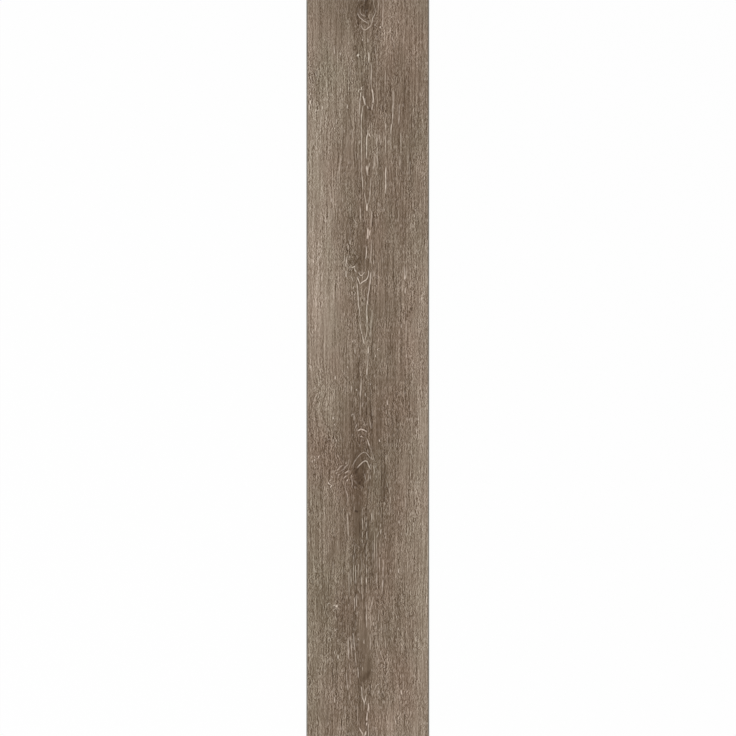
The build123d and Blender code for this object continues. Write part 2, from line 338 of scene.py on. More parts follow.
# Dark pores and specks, straight along the grain: place across, upper and lower end, width, grey levels
darkDashes = [
    (-12, 430, 426, 2.1, 34), (4.5, 341.5, 328.5, 1.7, 13), (2.5, 323.5, 319.5, 2.1, 66),
    (3, 310, 306, 1.5, 58), (8, 312.5, 309.5, 2.1, 36), (18.3, 326, 318, 1.5, 54),
    (-16.5, 189.5, 186.5, 1.5, 44), (-11.5, 189.5, 186.5, 1.5, 44), (44.5, 191.5, 182.5, 2, 16),
    (-21.8, 131, 129, 1.7, 50), (-6.8, 85, 83, 1.5, 66), (-6, 111.7, 110.7, 2.2, 18),
    (-17, 140.5, 139.5, 1.5, 58), (12, 126, 120, 1.5, 13), (-3, 47.5, 44.5, 1.5, 23),
    (-1.5, 38.5, 35.5, 1.5, 54), (-12, 72.5, 69.5, 1.5, 18), (-28, 39.5, 37.5, 1.7, 32),
    (30, 28, 24, 2.1, 34), (32, -3, -7, 1.7, 16), (41.5, 42, 40, 2.1, 18), (-11.5, 14.5, 1.5, 2.1, 13),
    (5.5, 54, 48, 1.7, 18), (4.5, -19, -25, 1.5, 16), (28, -32, -34, 1.7, 32), (11, -83, -85, 1.5, 18),
    (25.4, -86, -94, 1.5, 28), (35.5, -30, -34, 1.7, 70), (44, -39, -45, 2, 16), (-10, -141, -145, 2.8, 34),
    (18, -111, -115, 2.1, 16), (-28, -153, -159, 1.7, 18), (18.5, -205, -207, 1.5, 34),
    (20, -163.5, -166.5, 2.1, 26), (30.5, -197, -201, 1.7, 30), (15.5, -231.5, -234.5, 1.5, 44),
    (30, -209.5, -222.5, 1.7, 13), (-19.5, -232, -234, 1.7, 34), (-16.7, -253, -257, 1.5, 29),
    (-16.7, -261, -269, 1.5, 16), (-12, -276, -280, 1.5, 30), (-8, -280.5, -289.5, 1.5, 34),
    (-18, -296.5, -299.5, 1.5, 21), (-4, -298.5, -317.5, 2.1, 21), (20.5, -276, -280, 1.5, 18),
    (21.5, -263, -267, 1.5, 32), (25, -250.5, -253.5, 1.7, 21), (33, -245.5, -248.5, 1.7, 30),
    (5, -253, -259, 1.7, 26), (37, -283.5, -296.5, 1.7, 30), (-35, -296, -298, 1.7, 32),
    (3, -374.5, -377.5, 2.5, 14), (-7.5, -387.5, -388.5, 1.5, 18), (-28.3, -389.5, -392.5, 1.7, 18),
    (-43, -142, -143, 1.7, 28), (-42, -146, -147, 1.7, 26), (-47.8, -140.5, -141.5, 1.5, 26),
    (-49.5, -147.5, -148.5, 1.5, 26), (2.3, 250, 243, 1.6, 26), (5.8, 186, 175, 1.6, 42),
    (-3, 104, 102, 1.4, 22), (-1.3, 105.5, 103.5, 1.4, 22), (-52, 320.5, 317.5, 2, 46),
    (-53.5, 305, 294, 1.6, 14), (54, 75, 71.5, 2.2, 64), (51.6, 71, 68, 2, 50), (49.8, 66.5, 63, 2.3, 46),
    (-26.6, 160, 154.5, 1.5, 18), (-15.6, 178, 170, 1.6, 14), (-66.4, 346.5, 337, 1.6, 26),
    (-66.5, 327.5, 320.5, 1.6, 24), (-52.7, 342, 336, 1.6, 26), (-42.8, 192, 182, 1.7, 24),
    (53, 100, 97, 1.7, 50), (40.6, 88, 82, 1.6, 26),
]

# Dark lines in the wood, beside veins and round the knots: width in mm, grey levels, and the line in mm
darkLines = [
    # rings of the head knot, and the small eye below it
    (1.8, 26, (-9, 456), (-10.5, 450), (-10.5, 446), (-9.8, 443)),
    (1.6, 20, (-14, 447), (-13.8, 441), (-12.3, 435), (-11.5, 430), (-11.7, 426)),
    (1.5, 18, (-6, 450), (-6.3, 444), (-5, 440.5), (-3.2, 438.5)),
    (1.5, 32, (5.5, 457), (5, 452), (3.5, 447), (2, 442)), (1.4, 14, (0.5, 451), (0.5, 447), (-2.5, 442.5)),
    (1.4, 28, (-9, 437), (-6, 434.5), (-2.5, 433)), (1.4, 26, (-7.5, 428.5), (-4.5, 427), (-1, 426)),
    (1.4, 16, (-8.5, 420.5), (-6.7, 418)), (1.5, 34, (9.5, 424.5), (9.3, 422.5)),
    (1.5, 40, (-18.3, 397), (-16.5, 394), (-13.8, 397.5), (-15.5, 400.5), (-18.3, 397)),
    (1.5, 34, (-8, 407.5), (-7.4, 402), (-5.3, 397)), (1.4, 34, (8.4, 399), (8, 390)),
    (1.4, 26, (-23, 451), (-23.3, 440)), (1.4, 12, (11.5, 407), (14.5, 402)),
    (2, 16, (-15.5, 389.5), (-14, 386), (-11, 384.5), (-9.8, 388)),
    # flanks of the long veins
    (1.4, 12, (3, 378), (3, 366), (2, 358)), (1.4, 14, (-11.8, 132), (-10, 123), (-8, 118.5)),
    (1.7, 22, (1.3, 150), (0.7, 138), (0.2, 124)), (1.6, 14, (-5, 150), (-5.5, 138), (-5, 124)),
    (1.5, 14, (-18.3, 135), (-18, 128)),
    # round the main knot
    (1.5, 18, (-15.5, -131), (-14, -127), (-12, -125), (-9.5, -122.5)),
    (1.8, 14, (-12, -133), (-12.3, -141)), (1.6, 20, (-18.3, -142), (-18.7, -149), (-18.3, -157)),
    (1.5, 14, (-12, -103.5), (-15, -108), (-18, -114), (-19.8, -119)),
    (1.4, 28, (-7.7, -137.5), (-7.3, -139.5)), (1.4, 28, (11, -69), (11.2, -86)),
    (1.4, 14, (18.3, -106), (18.2, -115)), (1.5, 18, (22.5, -119), (23, -136)),
    (1.6, 18, (20.5, -140), (20.8, -152), (20.6, -166)), (1.4, 16, (-22, -97.5), (-21.8, -101)),
    (1.3, 12, (5, -127), (5.5, -138), (5, -147)), (1.3, 12, (-1, -143), (-0.5, -150)),
    (1.6, 14, (-11.3, -124.5), (-13, -126.5)), (1.5, 24, (-16, -124), (-17.2, -126.5)),
    (1.5, 24, (-15, -129), (-15.5, -131)), (1.4, 22, (-18.8, -117), (-19.5, -119.3)),
    (1.4, 16, (-1.5, -109), (0.5, -112)),
    # between the slanting strokes
    (1.4, 24, (-28.5, -121.3), (-33.5, -125.3)), (1.4, 24, (-26.5, -124.8), (-31, -127)),
    (1.4, 12, (-24, -124.8), (-29.5, -129.3)), (1.4, 22, (-24.5, -130.3), (-29, -133.5)),
    (1.4, 20, (-26, -136.5), (-29, -139.3)),
    # the small curl
    (1.6, 26, (-40.5, -296.2), (-42.5, -297.5), (-44, -297)), (1.6, 24, (-39.5, -300.2), (-41, -300.5)),
    (1.6, 20, (-43, -302), (-42.3, -304), (-41, -305.5)), (1.6, 22, (-42.3, -288.5), (-41.2, -288.8)),
    (1.6, 22, (-47.8, -302), (-47.8, -304.5)),
    # the bruise below it, and the straight grain
    (1.5, 18, (-18.3, -168.5), (-18, -175.5)), (2.2, 54, (-16.3, -177), (-14.5, -178), (-12.3, -178.8)),
    (1.6, 16, (-11, -190), (-10, -198), (-10.6, -209)), (1.4, 32, (-23, -182), (-22.4, -191)),
    (1.4, 46, (0.4, -187), (0.3, -203), (0.6, -214)), (1.4, 16, (3, -184), (2.6, -190)),
    (1.4, 30, (10.8, -189), (11, -199)), (1.4, 24, (14.6, -204), (14.1, -212)),
    (1.3, 14, (-9.5, -217.5), (-12, -219.5), (-15, -222.5)), (1.4, 24, (-4.2, -220), (-4.5, -229)),
    (1.4, 14, (-12.8, -252), (-13, -271)), (1.3, 14, (-19.5, -250), (-19.3, -266)),
    (1.3, 14, (4.5, -203), (4.3, -222), (4.2, -238)),
    # strands to the left of the smear, then the dark smear towards the foot
    (1.4, 20, (-19.3, -341), (-19, -347), (-17.8, -357)), (1.4, 16, (-22.6, -336), (-22, -352)),
    (1.5, 20, (-15.2, -328), (-14.8, -334)), (1.4, 18, (-14, -340), (-13.6, -352)),
    (2.4, 12, (0.3, -360), (-0.4, -368), (0.5, -374)),
    (6, 24, (2.5, -375.5), (0, -379.5), (-3.5, -384.5), (-6, -389)),
    (1.4, 14, (-13.8, -427), (-13.6, -437)), (1.4, 14, (2, -443), (2.3, -457)),
]

# Where the print leans to pink or to grey-green: middle, reach, and how far (pink is positive)
tintPatches = [
    (-66, -310, 12, 90, -1), (-2, 66, 14, 24, -0.8), (-46, 364, 20, 36, -1.3), (37, -46, 14, 30, 0.9),
    (-50, -115, 22, 34, 1.1), (41, -375, 14, 30, 1), (-70, 420, 9, 40, 0.8), (40, 400, 24, 62, 1.3),
    (14, -150, 12, 36, -0.9), (6, -240, 8, 40, -0.7), (22, -260, 14, 34, 0.9), (6, -436, 24, 26, 0.9),
    (-8, 320, 8, 60, -0.5), (-4, 185, 14, 50, 0.8), (42, 50, 16, 70, 0.8), (-28, -145, 12, 26, 0.9),
    (30, 240, 18, 60, 0.4), (-50, -257, 26, 34, -0.6), (66, -257, 12, 34, -0.7), (-50, -314, 14, 26, -0.5),
    (-68, -371, 12, 34, -0.5), (31, -215, 12, 36, 0.5), (-8, -314, 14, 30, 0.6), (47, -429, 12, 26, 0.8),
    (-2, -70, 14, 30, 0.4), (-68, 371, 8, 22, 0.4), (-68, 314, 9, 22, -0.4), (64, 314, 10, 26, -0.4),
    (31, -86, 12, 26, 0.4), (-48, -200, 12, 26, -0.4), (-31, -257, 10, 24, -0.4), (20, -371, 12, 28, 0.4),
    (-31, -314, 10, 24, 0.6),
]

# How lively the grain is: patches where it hardly shows are positive, and coarse ones negative
calmPatches = [
    (-50, 425, 30, 34, 0.5), (-12, -110, 12, 14, 0.7), (-12, -192, 7, 26, 0.7), (-6, 140, 6, 18, 0.6),
    (-3, 325, 5, 16, 0.7), (-5, -315, 5, 24, 0.6), (-8, -428, 7, 22, 0.6), (0, -349, 6, 22, 0.6),
    (-2, 449, 9, 12, 0.6), (-11, -134, 9, 14, 0.8), (0, -376, 7, 11, 0.7), (30, 30, 14, 22, 0.2),
    (-28, -60, 12, 20, 0.4), (15, -60, 8, 26, 0.4), (0, 212, 6, 20, 0.4), (66, 430, 12, 30, 0.5),
    (44, 340, 16, 60, 0.3), (-40, 50, 16, 50, 0.3), (-38, -205, 14, 60, 0.25), (18, 90, 8, 24, 0.3),
    (-68, 340, 14, 50, -0.3), (64, 257, 10, 30, -0.3), (-45, -314, 14, 30, -0.1), (-24, 140, 10, 26, -0.1),
    (14, -314, 10, 26, -0.3), (-33, -429, 10, 26, -0.3), (-33, 257, 10, 26, 0.18), (-66, 257, 12, 26, 0.18),
    (-42, 200, 14, 26, 0.13), (-30, 371, 14, 26, -0.2), (-66, 314, 12, 26, -0.2), (16, 314, 8, 26, -0.2),
    (16, 86, 8, 26, 0.2), (-49, 29, 12, 26, 0.2), (64, 0, 10, 50, -0.2), (-66, -110, 12, 50, 0.15),
    (-33, -86, 9, 26, 0.15), (64, -257, 9, 26, 0.2), (-65, -371, 10, 26, -0.2), (32, -429, 10, 26, -0.2),
    (-22, 134, 6, 22, -0.3), (-16, 397, 5, 6, 0.5), (-3, -383, 6, 8, 0.6), (16, -14, 7, 7, 0.5),
    (29, -14, 7, 8, 0.5), (-22, -8, 4, 9, 0.5), (-27, -315, 10, 16, 0.4), (3, -52, 4, 14, 0.4),
    (-51, 348, 4, 12, 0.5), (-8, -340, 6, 22, 0.4), (-12, -163, 7, 14, 0.5),
]

# Where the grain breaks up into short specks instead of long fibres
speckPatches = [
    (-66, 360, 18, 80, 0.35), (-10, 432, 16, 24, 0.4), (-60, -60, 18, 50, 0.35), (-44, -118, 18, 44, 0.3),
    (-40, -325, 18, 44, 0.35), (48, 60, 16, 80, 0.25), (-20, 134, 9, 30, 0.4), (-66, 430, 14, 30, 0.3),
    (22, 428, 22, 26, 0.35), (-30, 371, 12, 30, 0.4), (-66, 200, 14, 34, 0.3), (-40, 143, 16, 30, 0.25),
    (-16, 86, 8, 24, 0.3), (-42, -143, 14, 24, 0.3), (-30, -200, 16, 24, 0.3), (16, -312, 12, 24, 0.4),
    (-34, -371, 10, 30, 0.25), (32, -371, 14, 30, 0.2),
    # long straight strands instead
    (32, 257, 16, 34, -0.4), (64, 371, 12, 40, -0.2), (16, -429, 10, 26, -0.3), (-49, -429, 12, 26, -0.2),
    (-13, -268, 11, 32, -0.5), (12, -232, 12, 46, -0.5), (-16, 270, 11, 34, -0.4), (14, 120, 8, 36, -0.3),
]

# Knots that push the grain aside: middle, reach across and along, share of the way
grainKnots = [(-2, 449, 15, 26, 0.65), (-8, 112, 12, 24, 0.45), (-10, -128, 17, 26, 0.6),
              (0, -375, 10, 20, 0.55)]

# Patches where the grain leans: middle, reach across and along, mm sideways for each mm along
grainLeans = [(-62, -37, 14, 24, 0.35), (-31, -129, 13, 14, 0.8), (-35, 250, 12, 24, 0.16),
              (-20, 282, 10, 18, 0.2), (-20, -345, 12, 30, -0.12), (-48, 300, 16, 40, 0.1)]

# How the lines are drawn onto the mesh
figureLook = dict(
    spread=2.0,         # widths of a line over which its mark dies out
    taper=3.0,          # mm over which a line thins out at its ends,
    taperShare=0.25,    # or this share of its length if it is short
    tip=0.5,            # how full it still is at its ends
    endRound=0.8,       # mm that it runs on past them
    rounding=2,         # times that the corners of a line are cut
    grooveFall=2.8,     # how steeply the sides of a groove fall
    layers=2,           # close neighbours are drawn on layers of their own
)


def roundedLine(path, passes):
    # each pass cuts off the corners, a quarter of the way along
    line = np.array(path, float)
    for _ in range(passes if len(line) > 2 else 0):
        starts, ends = line[:-1], line[1:]
        cut = np.empty((2 * len(starts), 2))
        cut[0::2] = 0.75 * starts + 0.25 * ends
        cut[1::2] = 0.25 * starts + 0.75 * ends
        line = np.vstack([line[:1], cut, line[-1:]])
    return line


def bumpAt(x, y, mark):
    # a soft round hill of height 1, by a mark's middle and reach
    return np.exp(-((x - mark[0]) / mark[2]) ** 2 - ((y - mark[1]) / mark[3]) ** 2)


def patchSum(x, y, marks):
    return sum(mark[4] * bumpAt(x, y, mark) for mark in marks)


def nearLine(x, y, wide, path, look):
    # the points near a line, with their distance from it, and how full it is there: 0 past its ends
    line = roundedLine(path, look["rounding"])
    lengths = np.hypot(*np.diff(line, axis=0).T)
    total = lengths.sum()
    reach = look["spread"] * wide + look["endRound"]
    near = np.flatnonzero((x > line[:, 0].min() - reach) & (x < line[:, 0].max() + reach)
                          & (y > line[:, 1].min() - reach) & (y < line[:, 1].max() + reach))
    away = np.full(len(near), np.inf)     # distance to the line, in mm
    side = np.ones(len(near))             # which side of the line
    along = np.zeros(len(near))           # how far along the line
    done = 0.0
    for start, end, length in zip(line[:-1], line[1:], lengths):
        run = (end - start) / length
        offX, offY = x[near] - start[0], y[near] - start[1]
        ahead = offX * run[0] + offY * run[1]
        share = np.clip(ahead, 0, length)
        gap = np.hypot(offX - share * run[0], offY - share * run[1])
        closer = gap < away
        away[closer] = gap[closer]
        side[closer] = np.where(offX * run[1] > offY * run[0], 1, -1)[closer]
        along[closer] = done + ahead[closer]
        done += length
    inside = np.minimum(along, total - along)
    fade = np.clip(inside / min(look["taper"], look["taperShare"] * total), 0, 1)
    ends = np.clip(1 + inside / look["endRound"], 0, 1)
    return near, away / wide, side, (look["tip"] + (1 - look["tip"]) * fade) * ends


def drawLines(x, y, lines, look):
    # for each layer: the strength of the nearest line, the gap to it in widths, and its groove
    layers = [dict(mark=np.zeros(len(x)), gap=np.full(len(x), look["spread"]), press=np.zeros(len(x)))
              for _ in range(look["layers"])]
    for wide, strength, *path in lines:
        near, widths, side, fullness = nearLine(x, y, wide, path, look)
        fade = np.clip(2 * (look["spread"] - widths) / look["spread"], 0, 1)     # full up to half the spread
        mark = strength * fullness * fade
        groove = mark * np.exp(-look["grooveFall"] * widths ** 2)

        # it goes on the layer that is emptier here, so that close neighbours don't run together
        layer = min(layers, key=lambda fields: fields["press"][near].sum())
        first = groove > layer["press"][near]
        layer["press"][near[first]] = groove[first]
        layer["mark"][near[first]] = mark[first]
        layer["gap"][near[first]] = (side * widths)[first]
    return layers


def straight(dashes):
    return [(wide, strength, (px, top), (px, foot)) for px, top, foot, wide, strength in dashes]


def drawFigure(mesh, shape, look):
    places = np.empty(3 * len(mesh.vertices))
    mesh.vertices.foreach_get("co", places)
    places = places.reshape(-1, 3)
    x, y = places[:, 0] / mm, places[:, 1] / mm

    veins = limedVeins + straight(limedDashes)
    darks = darkLines + straight(darkDashes)
    layers = dict(vein=drawLines(x, y, veins, look), dark=drawLines(x, y, darks, look))

    # the press sinks the veins, and leaves the rim flat
    press = np.max([layer["press"] for layer in layers["vein"]], axis=0)
    edgeGap = np.minimum(faceCorner.x / mm - abs(x), faceCorner.y / mm - abs(y))
    onFace = places[:, 2] > faceHeight - hair
    sink = shape["veinDepth"] * press * np.clip(edgeGap / shape["flatRim"], 0, 1) * onFace
    places[:, 2] -= sink * mm
    mesh.vertices.foreach_set("co", places.ravel())

    # what the print reads from the mesh
    tone = np.interp(x, *np.array(toneAcross, float).T) + patchSum(x, y, broadShades + darkMarks)
    knots = sum(mark[4] * (x - mark[0]) * bumpAt(x, y, mark) for mark in grainKnots)
    leans = sum(mark[4] * (y - mark[1]) * bumpAt(x, y, mark) for mark in grainLeans)
    fields = dict(tone=tone / white, flow=-knots - leans, tint=patchSum(x, y, tintPatches),
                  calm=patchSum(x, y, calmPatches), speck=patchSum(x, y, speckPatches))
    for kind in layers:
        for number, layer in enumerate(layers[kind]):
            fields[f"{kind}Mark{number}"] = layer["mark"]
            fields[f"{kind}Gap{number}"] = layer["gap"]
    for name, field in fields.items():
        mesh.attributes.new(name, "FLOAT", "POINT").data.foreach_set("value", field.astype(np.float32))
    mesh.update()
    return len(veins), len(darks)


veinCount, darkCount = drawFigure(plankMesh, plankShape, figureLook)
print(f"figure: {veinCount} limed veins, {darkCount} dark lines, {len(broadShades + darkMarks)} soft shades")


# Helpers for nodes and objects
def linear(red, green, blue):
    # a colour given from 0 to 255, through the screen's curve to what Blender's shaders take
    parts = [c / white for c in (red, green, blue)]
    return tuple(c / 12.92 if c <= 0.04045 else ((c + 0.055) / 1.055) ** 2.4 for c in parts) + (1,)


def newMaterial(name):
    material = bpy.data.materials.new(name)
    material.use_nodes = True
    tree = material.node_tree
    return material, tree, tree.nodes["Principled BSDF"]


def addNode(tree, kind, **settings):
    node = tree.nodes.new("ShaderNode" + kind)
    for name, value in settings.items():
        setattr(node, name, value)
    return node


def feed(tree, node, inputs):
    for name, value in inputs.items():
        if isinstance(value, bpy.types.NodeSocket):
            tree.links.new(value, node.inputs[name])
        else:
            node.inputs[name].default_value = value


def calc(tree, operation, *values, clamp=False):
    node = addNode(tree, "Math", operation=operation, use_clamp=clamp)
    feed(tree, node, dict(enumerate(values)))
    return node.outputs[0]


def attributeOf(tree, name):
    return addNode(tree, "Attribute", attribute_name=name).outputs["Fac"]


def millimetres(tree):
    # Object coordinates in mm, as three sockets
    place = addNode(tree, "TexCoord").outputs["Object"]
    scaled = addNode(tree, "VectorMath", operation="SCALE")
    feed(tree, scaled, {"Vector": place, "Scale": 1 / mm})
    parts = addNode(tree, "SeparateXYZ")
    feed(tree, parts, {"Vector": scaled.outputs["Vector"]})
    return parts.outputs["X"], parts.outputs["Y"], parts.outputs["Z"]


def placeIn(tree, across, along, layer, shift=0):
    # a place counted in the sizes of a layer, which starts at its own spot of the pattern
    place = addNode(tree, "CombineXYZ")
    feed(tree, place, {"X": calc(tree, "MULTIPLY_ADD", across, 1 / layer["across"], layer["seed"] + shift),
                       "Y": calc(tree, "MULTIPLY_ADD", along, 1 / layer["along"], layer["seed"])})
    return place.outputs["Vector"]


def stretchedNoise(tree, across, along, layer):
    # noise drawn out along the grain, centred on zero
    noise = addNode(tree, "TexNoise", noise_dimensions="2D")
    feed(tree, noise, {"Vector": placeIn(tree, across, along, layer), "Scale": 1.0,
                       "Detail": layer["detail"]})
    return calc(tree, "SUBTRACT", noise.outputs["Fac"], 0.5)


def noiseAround(tree, level, across, along, layer):
    return calc(tree, "MULTIPLY_ADD", stretchedNoise(tree, across, along, layer), layer["gain"], level)


def voronoi(tree, across, along, layer, feature, shift=0):
    cells = addNode(tree, "TexVoronoi", voronoi_dimensions="2D", feature=feature)
    feed(tree, cells, {"Vector": placeIn(tree, across, along, layer, shift), "Scale": 1.0})
    return cells


def fibreCells(tree, across, along, layer):
    # slivers drawn out along the grain, each of one random level, with painted shade on its far side where
    # the next sliver is paler and painted light where it is darker
    levels = []
    for shift in (0, layer["side"]):
        cells = voronoi(tree, across, along, layer, "F1", shift)
        levels.append(calc(tree, "SUBTRACT", cells.outputs["Color"], 0.5))
    return calc(tree, "MULTIPLY_ADD", levels[1], -layer["sideShading"], levels[0])


def ease(tree, value, start, end):
    # 0 up to the start, 1 from the end on, and smooth between
    node = addNode(tree, "MapRange", interpolation_type="SMOOTHSTEP")
    feed(tree, node, {"Value": value, "From Min": start, "From Max": end})
    return node.outputs["Result"]


def lineShare(tree, kind, wobble, outer, inner):
    # how much of a drawn line shows: all of it inside the inner gap, nothing past the outer one
    share = 0.0
    for number in range(figureLook["layers"]):
        gap = calc(tree, "ADD", attributeOf(tree, f"{kind}Gap{number}"), wobble)
        shown = ease(tree, calc(tree, "ABSOLUTE", gap), outer, inner)
        shown = calc(tree, "MULTIPLY", shown, attributeOf(tree, f"{kind}Mark{number}"))
        share = calc(tree, "MAXIMUM", shown, share)
    return share


def toneRamp(tree, fac, stops):
    ramp = addNode(tree, "ValToRGB")
    while len(ramp.color_ramp.elements) < len(stops):
        ramp.color_ramp.elements.new(0.5)
    for element, (place, colour) in zip(ramp.color_ramp.elements, stops):
        element.position = place
        element.color = colour
    feed(tree, ramp, {"Fac": fac})
    return ramp.outputs["Color"]


def mixColour(tree, share, first, second, blend="MIX"):
    node = addNode(tree, "Mix", data_type="RGBA", blend_type=blend)
    feed(tree, node, {0: share, 6: first, 7: second})
    return node.outputs[2]


def finishSurface(tree, shader, look, colour, rough, height, sunk=False):
    # colour, gloss and fine relief, the same way on all three finishes
    bump = addNode(tree, "Bump", invert=sunk)
    feed(tree, bump, {"Height": height, "Distance": look["bumpDepth"] * mm})
    feed(tree, shader, {"Base Color": colour, "Roughness": rough, "Normal": bump.outputs["Normal"],
                        "Specular IOR Level": look["specular"]})


def seenPlainly(tree):
    # 1 for what the camera sees, straight or by way of gloss or glass
    path = addNode(tree, "LightPath")
    seen = calc(tree, "MAXIMUM", path.outputs["Is Camera Ray"], path.outputs["Is Glossy Ray"])
    return calc(tree, "MAXIMUM", seen, path.outputs["Is Transmission Ray"])


def addObject(name, data):
    thing = bpy.data.objects.new(name, data)
    bpy.context.scene.collection.objects.link(thing)
    return thing


# Printed wear face: limed oak under a matt wear layer. Sizes are in mm, strengths in grey levels.
printLook = dict(
    levels=[45, 75, 105, 135, 165, 195, 225],   # at the stops of the tone's ramp
    warmth=(14.4, -3.2, -21.3),                 # red, green and blue above or below the grey level
    warmStart=1.12, warmFade=0.1,               # share of that at black, and what 100 levels take away
    wander=dict(across=45, along=150, detail=1, seed=4.1, gain=5),
    # relief is the share of the next sliver's level taken off: painted shade and light beside each sliver
    speckle=dict(across=0.7, along=1.4, side=1.7, sideShading=0.3, seed=11.3, strength=78),
    dash=dict(across=0.7, along=8, side=1.7, sideShading=0.35, seed=23.7, strength=48),
    fibre=dict(across=0.7, along=36, side=1.7, sideShading=0.35, seed=37.9, strength=39),
    ribbon=dict(across=2.4, along=80, detail=0, seed=43.3, strength=44),
    streaks=dict(across=9, along=190, detail=1.5, seed=51.1, strength=18),
    patchwork=dict(across=12, along=28, detail=1, seed=67.7, gain=1.6),
    mottle=dict(across=16, along=40, detail=1, seed=71.9, gain=1.3),
    leastPatch=0.55, leastFibre=0.2, leastCalm=0.2,     # share of the grain that is left in any case
    pores=dict(across=0.85, along=6.5, detail=0, seed=29.3, start=0.14, end=0.26, fill=0.28),
    lime=(222, 206, 190),
    veinWobble=dict(across=3, along=12, detail=1, seed=77.7, gain=0.8),
    veinBreaks=dict(across=2, along=6, detail=1, seed=83.3, gain=1.55), veinFill=0.95,
    veinReach=(0.6, 0.15), flankReach=(1.8, 0.7), darkReach=(0.9, 0.1),     # outer and inner, in widths
    flankShade=14, flankCalm=0.5,                # painted shade in grey levels, and share of the grain lost, beside a vein
    darkFull=30,                                # grey levels of a dark line that calms the grain as much
    rosy=(1.035, 0.985, 0.985), mossy=(0.965, 1.012, 0.985),
    tintNoise=dict(across=26, along=60, detail=1.5, seed=97.1, gain=2),
    bevelPaint=(124, 120, 112), bevelStart=2.4, bevelEnd=0.4,     # mm from the long edges
    roughness=0.58, grainGloss=0.3,             # high grain is smoother by this share
    specular=0.25, bumpDepth=0.05,
)


def makePrint(look):
    material, tree, shader = newMaterial("limedOakPrint")
    x, y, _ = millimetres(tree)
    across = noiseAround(tree, calc(tree, "ADD", x, attributeOf(tree, "flow")), x, y, look["wander"])

    # veins: a wavering line with painted shade along its flanks, its lime broken along its length
    wobble = noiseAround(tree, 0.0, x, y, look["veinWobble"])
    shadeFlank = lineShare(tree, "vein", wobble, *look["flankReach"])
    vein = calc(tree, "MULTIPLY", lineShare(tree, "vein", wobble, *look["veinReach"]),
                noiseAround(tree, look["veinFill"], x, y, look["veinBreaks"]))
    dark = lineShare(tree, "dark", wobble, *look["darkReach"])
    beside = lineShare(tree, "dark", wobble, *look["flankReach"])
    beside = calc(tree, "MULTIPLY", beside, 1 / look["darkFull"])
    beside = calc(tree, "MAXIMUM", beside, shadeFlank, clamp=True)

    # fine grain: short specks in some patches and long fibres in others, some of them faint
    mottle = noiseAround(tree, attributeOf(tree, "speck"), across, y, look["mottle"])
    shares = dict(speckle=calc(tree, "ADD", 1.0, mottle),
                  fibre=calc(tree, "MAXIMUM", calc(tree, "SUBTRACT", 1.0, mottle), look["leastFibre"]))
    grain = 0.0
    for name in ("speckle", "dash", "fibre"):
        noise = calc(tree, "MULTIPLY", fibreCells(tree, across, y, look[name]), shares.get(name, 1.0))
        grain = calc(tree, "MULTIPLY_ADD", noise, look[name]["strength"] / white, grain)
    thick = calc(tree, "MAXIMUM", noiseAround(tree, 1.0, across, y, look["patchwork"]), look["leastPatch"])
    lively = calc(tree, "SUBTRACT", 1.0, attributeOf(tree, "calm"))
    lively = calc(tree, "MULTIPLY", calc(tree, "MAXIMUM", lively, look["leastCalm"]),
                  calc(tree, "MULTIPLY_ADD", beside, -look["flankCalm"], 1.0))
    thick = calc(tree, "MULTIPLY", thick, lively)
    grain = calc(tree, "MULTIPLY", grain, thick)
    tone = calc(tree, "ADD", attributeOf(tree, "tone"), grain)
    # painted shade beside each sunk vein
    tone = calc(tree, "MULTIPLY_ADD", shadeFlank, -look["flankShade"] / white, tone)
    tone = calc(tree, "MULTIPLY_ADD", dark, -1 / white, tone)
    for name in ("ribbon", "streaks"):
        noise = stretchedNoise(tree, across, y, look[name])
        tone = calc(tree, "MULTIPLY_ADD", noise, look[name]["strength"] / white, tone)

    # pores: short thin dashes of lime in the open grain
    pores = look["pores"]
    pore = ease(tree, stretchedNoise(tree, across, y, pores), pores["start"], pores["end"])
    pore = calc(tree, "MULTIPLY", pore, calc(tree, "MULTIPLY", thick, pores["fill"]))
    limed = calc(tree, "MAXIMUM", vein, pore, clamp=True)

    # colour follows the tone, with rosy and mossy patches
    stops = []
    for level in look["levels"]:
        warm = look["warmStart"] - look["warmFade"] * level / 100
        stops.append((level / white, linear(*[max(level + warm * part, 0) for part in look["warmth"]])))
    colour = mixColour(tree, limed, toneRamp(tree, tone, stops), linear(*look["lime"]))
    tint = noiseAround(tree, attributeOf(tree, "tint"), across, y, look["tintNoise"])
    tint = calc(tree, "MULTIPLY_ADD", tint, 0.5, 0.5, clamp=True)     # from -1 ... 1 onto the ramp
    tintStops = [(0.0, look["mossy"] + (1,)), (0.5, (1, 1, 1, 1)), (1.0, look["rosy"] + (1,))]
    colour = mixColour(tree, 1.0, colour, toneRamp(tree, tint, tintStops), "MULTIPLY")

    # the micro bevel is painted along the two long edges
    edgeGap = calc(tree, "SUBTRACT", halfWidth / mm, calc(tree, "ABSOLUTE", x))
    paint = ease(tree, edgeGap, look["bevelStart"], look["bevelEnd"])
    colour = mixColour(tree, paint, colour, linear(*look["bevelPaint"]))

    rough = calc(tree, "MULTIPLY_ADD", grain, -look["grainGloss"], look["roughness"])
    finishSurface(tree, shader, look, colour, rough, grain)
    return material


# Cut edge: filled vinyl, with the faint drag of the die, and the print's film on top
edgeLook = dict(core=(126, 119, 110), dark=(96, 90, 83), film=(110, 96, 82), filmDepth=0.35,
                drag=dict(across=0.25, along=30, detail=2, seed=5.3, gain=2.2), dragLevel=0.5,
                roughness=0.7, specular=0.3, bumpDepth=0.03)


def makeCutEdge(look):
    material, tree, shader = newMaterial("cutVinylEdge")
    x, y, z = millimetres(tree)
    drag = stretchedNoise(tree, z, calc(tree, "ADD", x, y), look["drag"])
    share = calc(tree, "MULTIPLY_ADD", drag, look["drag"]["gain"], look["dragLevel"], clamp=True)
    colour = mixColour(tree, share, linear(*look["dark"]), linear(*look["core"]))
    film = calc(tree, "GREATER_THAN", z, edgeHeight / mm - look["filmDepth"])
    colour = mixColour(tree, film, colour, linear(*look["film"]))
    finishSurface(tree, shader, look, colour, look["roughness"], drag)
    return material


